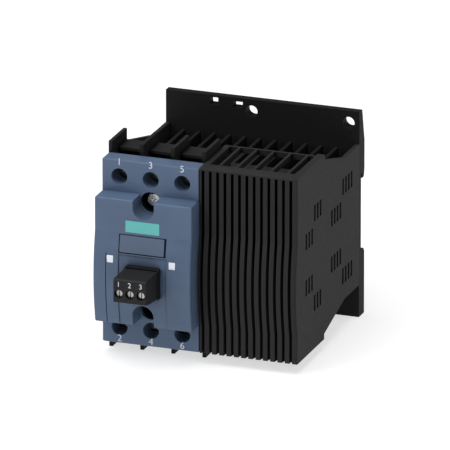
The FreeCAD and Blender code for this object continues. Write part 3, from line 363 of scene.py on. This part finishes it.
def flat_field(name, x, z, y, material, body):
    """A thin rounded rectangle between two x and two z on a face that looks forwards."""
    mesh = bpy.data.meshes.new(name)
    bm = bmesh.new()
    outline = []
    inner_x = (x[0] + FIELD_CORNER, x[1] - FIELD_CORNER)
    inner_z = (z[0] + FIELD_CORNER, z[1] - FIELD_CORNER)
    for cx, cz, start in ((inner_x[1], inner_z[1], 0), (inner_x[0], inner_z[1], 90),
                          (inner_x[0], inner_z[0], 180), (inner_x[1], inner_z[0], 270)):
        for step in range(5):
            angle = math.radians(start + step * 22.5)
            outline.append(bm.verts.new((cx + FIELD_CORNER * math.cos(angle), y,
                                         cz + FIELD_CORNER * math.sin(angle))))
    face = bm.faces.new(outline)
    made = bmesh.ops.extrude_face_region(bm, geom=[face])
    moved = [v for v in made["geom"] if isinstance(v, bmesh.types.BMVert)]
    bmesh.ops.translate(bm, verts=moved, vec=(0.0, -FIELD_THICK, 0.0))
    bmesh.ops.recalc_face_normals(bm, faces=bm.faces)
    bm.to_mesh(mesh)
    bm.free()
    thing = bpy.data.objects.new(name, mesh)
    bpy.context.scene.collection.objects.link(thing)
    thing.data.materials.append(material)
    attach(thing, body)
    return thing


for pole in (1, 2, 3):
    line, load = middle(f"line_screw_{pole}"), middle(f"load_screw_{pole}")
    flat_mark(f"line_number_{pole}", str(2 * pole - 1), line.x, TERMINAL_FACE,
              line.z + LINE_DIGIT_RISE, TERMINAL_DIGIT, MARK_WHITE, "root")
    flat_mark(f"load_number_{pole}", str(2 * pole), load.x, TERMINAL_FACE,
              load.z - LOAD_DIGIT_DROP, TERMINAL_DIGIT, MARK_WHITE, "root")

plug_low, plug_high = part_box("control_plug")
for number in (1, 2, 3):
    flat_mark(f"plug_number_{number}", str(number), middle(f"plug_screw_{number}").x,
              plug_low.y, plug_high.z - PLUG_DIGIT_DROP, PLUG_DIGIT, MARK_WHITE, "control_plug")

flat_field("plain_field", (FIELD_LEFT, FIELD_RIGHT), (FIELD_LOW, FIELD_HIGH), MAIN_FACE,
           TEAL_FIELD, "root")


# ------------------------------------------------------------------ stage, light and camera

LAMP_DISTANCE = 1.2
FLOOR_SIZE = 12.0
FLOOR_GAP = 0.2 * MM
FLOOR_GLOW = 0.62


def make_floor():
    mesh = bpy.data.meshes.new("floor")
    bm = bmesh.new()
    bmesh.ops.create_grid(bm, x_segments=1, y_segments=1, size=FLOOR_SIZE)
    bm.to_mesh(mesh)
    bm.free()
    floor = bpy.data.objects.new("floor", mesh)
    bpy.context.scene.collection.objects.link(floor)
    floor.location = (0.0, 0.0, cad_box[0].z - FLOOR_GAP)
    n = Nodes("floor_white")
    n.link(n.ramp(n.noise(3.0), (0.46, 0.46, 0.46, 1.0), (0.48, 0.48, 0.48, 1.0)),
           n.shader.inputs["Base Color"])
    n.shader.inputs["Roughness"].default_value = 0.9
    n.shader.inputs["Specular IOR Level"].default_value = 0.1
    n.shader.inputs["Emission Color"].default_value = (1.0, 1.0, 1.0, 1.0)
    n.shader.inputs["Emission Strength"].default_value = FLOOR_GLOW
    floor.data.materials.append(n.material)


def direction(azimuth, elevation):
    """Unit vector from the object: azimuth from the front towards +X, elevation up."""
    a, e = math.radians(azimuth), math.radians(elevation)
    return Vector((math.sin(a) * math.cos(e), -math.cos(a) * math.cos(e), math.sin(e)))


def soft_light(name, azimuth, elevation, size, power):
    """A square area light aimed at the middle of the object."""
    aim = (cad_box[0] + cad_box[1]) / 2
    toward = direction(azimuth, elevation)
    lamp = bpy.data.lights.new(name, "AREA")
    lamp.shape = "SQUARE"
    lamp.size = size
    lamp.energy = power
    lamp_object = bpy.data.objects.new(name, lamp)
    lamp_object.location = aim + toward * LAMP_DISTANCE
    lamp_object.rotation_mode = "QUATERNION"
    lamp_object.rotation_quaternion = (-toward).to_track_quat("-Z", "Y")
    lamp_object.visible_camera = False
    bpy.context.scene.collection.objects.link(lamp_object)


def make_world(strength):
    world = bpy.data.worlds.new("studio")
    world.use_nodes = True
    background = world.node_tree.nodes["Background"]
    background.inputs["Color"].default_value = (1.0, 1.0, 1.0, 1.0)
    background.inputs["Strength"].default_value = strength
    bpy.context.scene.world = world


def make_camera(azimuth, elevation, distance, view_width, aim):
    """A long lens camera; view_width is how much of the object's plane the frame spans."""
    back = direction(azimuth, elevation)
    camera = bpy.data.cameras.new("camera")
    camera.sensor_width = 36.0
    camera.lens = 36.0 * distance / view_width
    camera.clip_end = 100.0
    camera_object = bpy.data.objects.new("camera", camera)
    camera_object.location = aim + back * distance
    camera_object.rotation_mode = "QUATERNION"
    camera_object.rotation_quaternion = (-back).to_track_quat("-Z", "Y")
    bpy.context.scene.collection.objects.link(camera_object)
    bpy.context.scene.camera = camera_object


VIEW_AZIMUTH = 19.94
VIEW_ELEVATION = 19.32
VIEW_DISTANCE = 6.0
VIEW_WIDTH = 0.1961
AIM = Vector((-2.79, -47.16, 2.30)) * MM

make_floor()
make_world(0.3)
soft_light("top_light", -10, 75, size=1.0, power=13.8)
soft_light("key_light", -40, 35, size=0.7, power=4.3)
soft_light("edge_light", 110, 20, size=0.8, power=1.5)
make_camera(VIEW_AZIMUTH, VIEW_ELEVATION, VIEW_DISTANCE, VIEW_WIDTH, AIM)
bpy.context.scene.view_settings.view_transform = "Standard"
